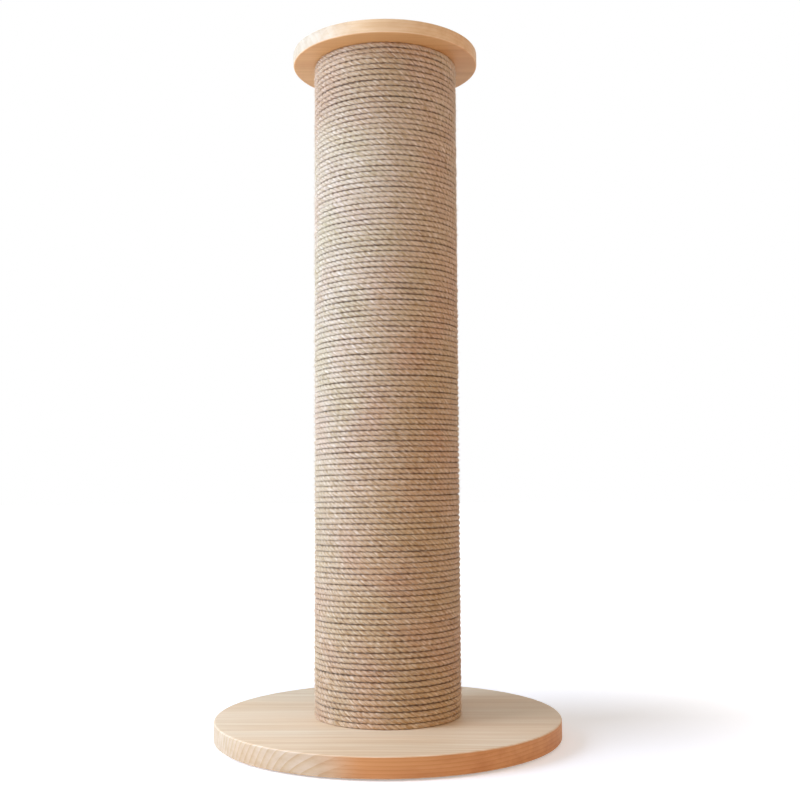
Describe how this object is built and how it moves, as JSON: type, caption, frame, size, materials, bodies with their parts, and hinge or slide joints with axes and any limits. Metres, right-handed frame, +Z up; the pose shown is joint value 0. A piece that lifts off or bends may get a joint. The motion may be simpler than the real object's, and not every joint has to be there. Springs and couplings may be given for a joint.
{
  "type": "scratching post",
  "caption": "Rope-wound upright post between a wide round wooden base board and a small round wooden top board, standing on non-slip pads.",
  "frame": {"origin": "on the post's axis, at the level of the surface that the pads stand on", "axes": "+Z up along the post, +Y towards the back, where the rope's two ends are tucked in, +X to the right seen from the front"},
  "size_m": [0.3949, 0.395, 0.8],
  "materials": {
    "pine": "sanded and oiled",
    "sisal": "natural twisted fibre",
    "cardboard": "matte wound board",
    "plywood": "sawn",
    "zinc_steel": "zinc plated",
    "rubber": "matte"
  },
  "bodies": {
    "root": {"base_board": "pine", "top_board": "pine", "sisal_rope": "sisal", "core_tube": "cardboard", "lower_plug": "plywood", "upper_plug": "plywood", "base_bolt": "zinc_steel", "base_washer": "zinc_steel", "tee_nuts": "zinc_steel", "top_stud": "zinc_steel", "top_insert": "zinc_steel", "non_slip_pads": "rubber"}
  },
  "joints": []
}
